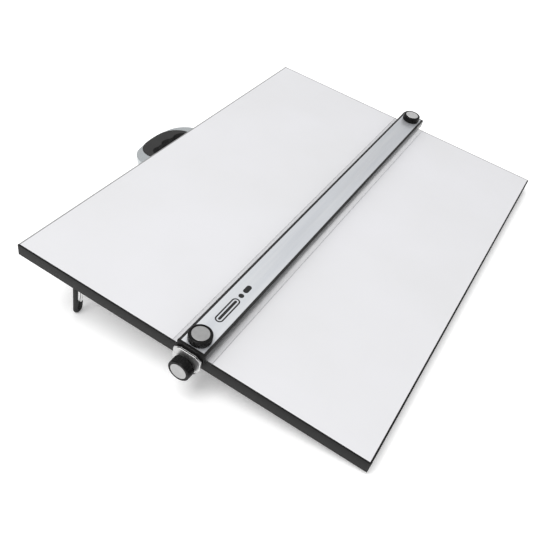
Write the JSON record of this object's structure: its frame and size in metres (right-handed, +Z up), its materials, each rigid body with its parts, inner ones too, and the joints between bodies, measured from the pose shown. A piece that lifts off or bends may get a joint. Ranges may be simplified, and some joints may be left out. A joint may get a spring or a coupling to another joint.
{
  "type": "portable drawing board with parallel straightedge",
  "caption": "Tilted portable drawing board with a cable-guided parallel straightedge, locking knobs, fold-away legs and a carry handle.",
  "frame": {"origin": "centre of the footprint box on the table plane that the feet and leg tips stand on", "axes": "+X along the straightedge towards its right end, +Y from the front edge to the rear edge, +Z up"},
  "size_m": [0.8454, 0.642, 0.148],
  "materials": {
    "wood_core": "light basswood core board",
    "white_laminate": "matt white melamine",
    "backing_laminate": "matt grey backing laminate",
    "black_edge_band": "satin black edge band",
    "black_rubber": "matt black rubber",
    "screw_steel": "zinc-plated steel",
    "bracket_steel": "pressed steel, zinc plated",
    "cable_steel": "stranded steel wire",
    "nylon": "natural white nylon",
    "black_anodised": "gloss black anodised aluminium",
    "silver_inlay": "satin silver anodised",
    "clear_acrylic": "clear acrylic",
    "black_plastic": "satin black moulded plastic",
    "bright_aluminium": "bright stamped aluminium",
    "knob_cap_silver": "satin silver disc",
    "chrome_wire": "bright chrome",
    "handle_silver": "silver lacquered plastic",
    "handle_rubber": "soft-touch black rubber"
  },
  "bodies": {
    "board": {"board_core": "wood_core", "top_laminate": "white_laminate", "bottom_laminate": "backing_laminate", "edge_band_front": "black_edge_band", "edge_band_rear": "black_edge_band", "edge_band_left": "black_edge_band", "edge_band_right": "black_edge_band", "front_feet": "black_rubber", "rear_feet": "black_rubber", "foot_screws": "screw_steel", "underside_screws": "screw_steel", "pulley_brackets": "bracket_steel", "pulley_axles": "screw_steel", "drive_cable": "cable_steel", "cable_guide": "nylon", "leg_brackets": "bracket_steel", "handle_brackets": "bracket_steel", "handle_pins": "screw_steel"},
    "straightedge": {"straightedge_bar": "black_anodised", "top_inlay": "silver_inlay", "blade_front": "clear_acrylic", "blade_rear": "clear_acrylic", "glide_pads": "nylon", "end_cap_left": "black_plastic", "end_cap_right": "black_plastic", "carriage_left": "black_anodised", "carriage_right": "black_anodised", "clamp_plate_left": "bright_aluminium", "clamp_plate_right": "bright_aluminium", "cable_clamp_left": "screw_steel", "cable_clamp_right": "screw_steel", "cable_clamp_screws": "screw_steel", "plate_screws": "screw_steel", "end_cap_screws": "screw_steel"},
    "top_knob_left": {"top_knob_left": "black_plastic", "top_knob_cap_left": "knob_cap_silver", "top_knob_stud_left": "screw_steel"},
    "side_knob_left": {"side_knob_left": "black_plastic", "side_knob_cap_left": "knob_cap_silver", "side_knob_stud_left": "screw_steel"},
    "brake_pad_left": {"brake_pad_left": "black_rubber"},
    "top_knob_right": {"top_knob_right": "black_plastic", "top_knob_cap_right": "knob_cap_silver", "top_knob_stud_right": "screw_steel"},
    "side_knob_right": {"side_knob_right": "black_plastic", "side_knob_cap_right": "knob_cap_silver", "side_knob_stud_right": "screw_steel"},
    "brake_pad_right": {"brake_pad_right": "black_rubber"},
    "pulley_front_left": {"pulley_front_left": "nylon"},
    "pulley_front_right": {"pulley_front_right": "nylon"},
    "pulley_rear_left": {"pulley_rear_left": "nylon"},
    "pulley_rear_right": {"pulley_rear_right": "nylon"},
    "leg_left": {"leg_wire_left": "chrome_wire", "leg_sleeve_left": "black_rubber"},
    "leg_right": {"leg_wire_right": "chrome_wire", "leg_sleeve_right": "black_rubber"},
    "handle": {"handle_bow": "handle_silver", "handle_grip": "handle_rubber"}
  },
  "joints": [
    {"name": "straightedge_slide", "type": "slide", "parent": "board", "child": "straightedge", "axis": [0, 0.9781, 0.2079], "range_m": [-0.2144, 0.2546]},
    {"name": "top_knob_left_turn", "type": "hinge", "parent": "straightedge", "child": "top_knob_left", "pos_m": [-0.3805, -0.06029, 0.10087], "axis": [0, -0.2079, 0.9781], "range_deg": [0, 540]},
    {"name": "side_knob_left_turn", "type": "hinge", "parent": "straightedge", "child": "side_knob_left", "pos_m": [-0.406, -0.0525, 0.07288], "axis": [1, 0, 0], "range_deg": [0, 180]},
    {"name": "brake_pad_left_slide", "type": "slide", "parent": "straightedge", "child": "brake_pad_left", "axis": [1, 0, 0], "range_m": [0, 0.0004]},
    {"name": "top_knob_right_turn", "type": "hinge", "parent": "straightedge", "child": "top_knob_right", "pos_m": [0.3805, -0.06029, 0.10087], "axis": [0, -0.2079, 0.9781], "range_deg": [0, 540]},
    {"name": "side_knob_right_turn", "type": "hinge", "parent": "straightedge", "child": "side_knob_right", "pos_m": [0.406, -0.0525, 0.07288], "axis": [-1, 0, 0], "range_deg": [0, 180]},
    {"name": "brake_pad_right_slide", "type": "slide", "parent": "straightedge", "child": "brake_pad_right", "axis": [-1, 0, 0], "range_m": [0, 0.0004]},
    {"name": "pulley_front_left_turn", "type": "hinge", "parent": "board", "child": "pulley_front_left", "pos_m": [-0.374, -0.28866, 0.00939], "axis": [0, -0.2079, 0.9781], "range_deg": [-1345, 1120]},
    {"name": "pulley_front_right_turn", "type": "hinge", "parent": "board", "child": "pulley_front_right", "pos_m": [0.374, -0.28866, 0.00939], "axis": [0, -0.2079, 0.9781], "range_deg": [-1120, 1345]},
    {"name": "pulley_rear_left_turn", "type": "hinge", "parent": "board", "child": "pulley_rear_left", "pos_m": [-0.374, 0.2278, 0.11917], "axis": [0, -0.2079, 0.9781], "range_deg": [-1345, 1120]},
    {"name": "pulley_rear_right_turn", "type": "hinge", "parent": "board", "child": "pulley_rear_right", "pos_m": [0.374, 0.2278, 0.11917], "axis": [0, -0.2079, 0.9781], "range_deg": [-1120, 1345]},
    {"name": "leg_left_fold", "type": "hinge", "parent": "board", "child": "leg_left", "pos_m": [-0.3485, 0.18158, 0.10577], "axis": [-1, 0, 0], "range_deg": [0, 94]},
    {"name": "leg_right_fold", "type": "hinge", "parent": "board", "child": "leg_right", "pos_m": [0.3485, 0.18158, 0.10577], "axis": [-1, 0, 0], "range_deg": [0, 94]},
    {"name": "handle_swing", "type": "hinge", "parent": "board", "child": "handle", "pos_m": [0, 0.24089, 0.11531], "axis": [1, 0, 0], "range_deg": [-160, 11]}
  ],
  "couplings": [
    {"joint": "brake_pad_left_slide", "follows": "side_knob_left_turn", "m_per_rad": 0.00012732},
    {"joint": "brake_pad_right_slide", "follows": "side_knob_right_turn", "m_per_rad": 0.00012732},
    {"joint": "pulley_front_left_turn", "follows": "straightedge_slide", "rad_per_m": -90.909},
    {"joint": "pulley_front_right_turn", "follows": "straightedge_slide", "rad_per_m": 90.909},
    {"joint": "pulley_rear_left_turn", "follows": "straightedge_slide", "rad_per_m": -90.909},
    {"joint": "pulley_rear_right_turn", "follows": "straightedge_slide", "rad_per_m": 90.909}
  ]
}
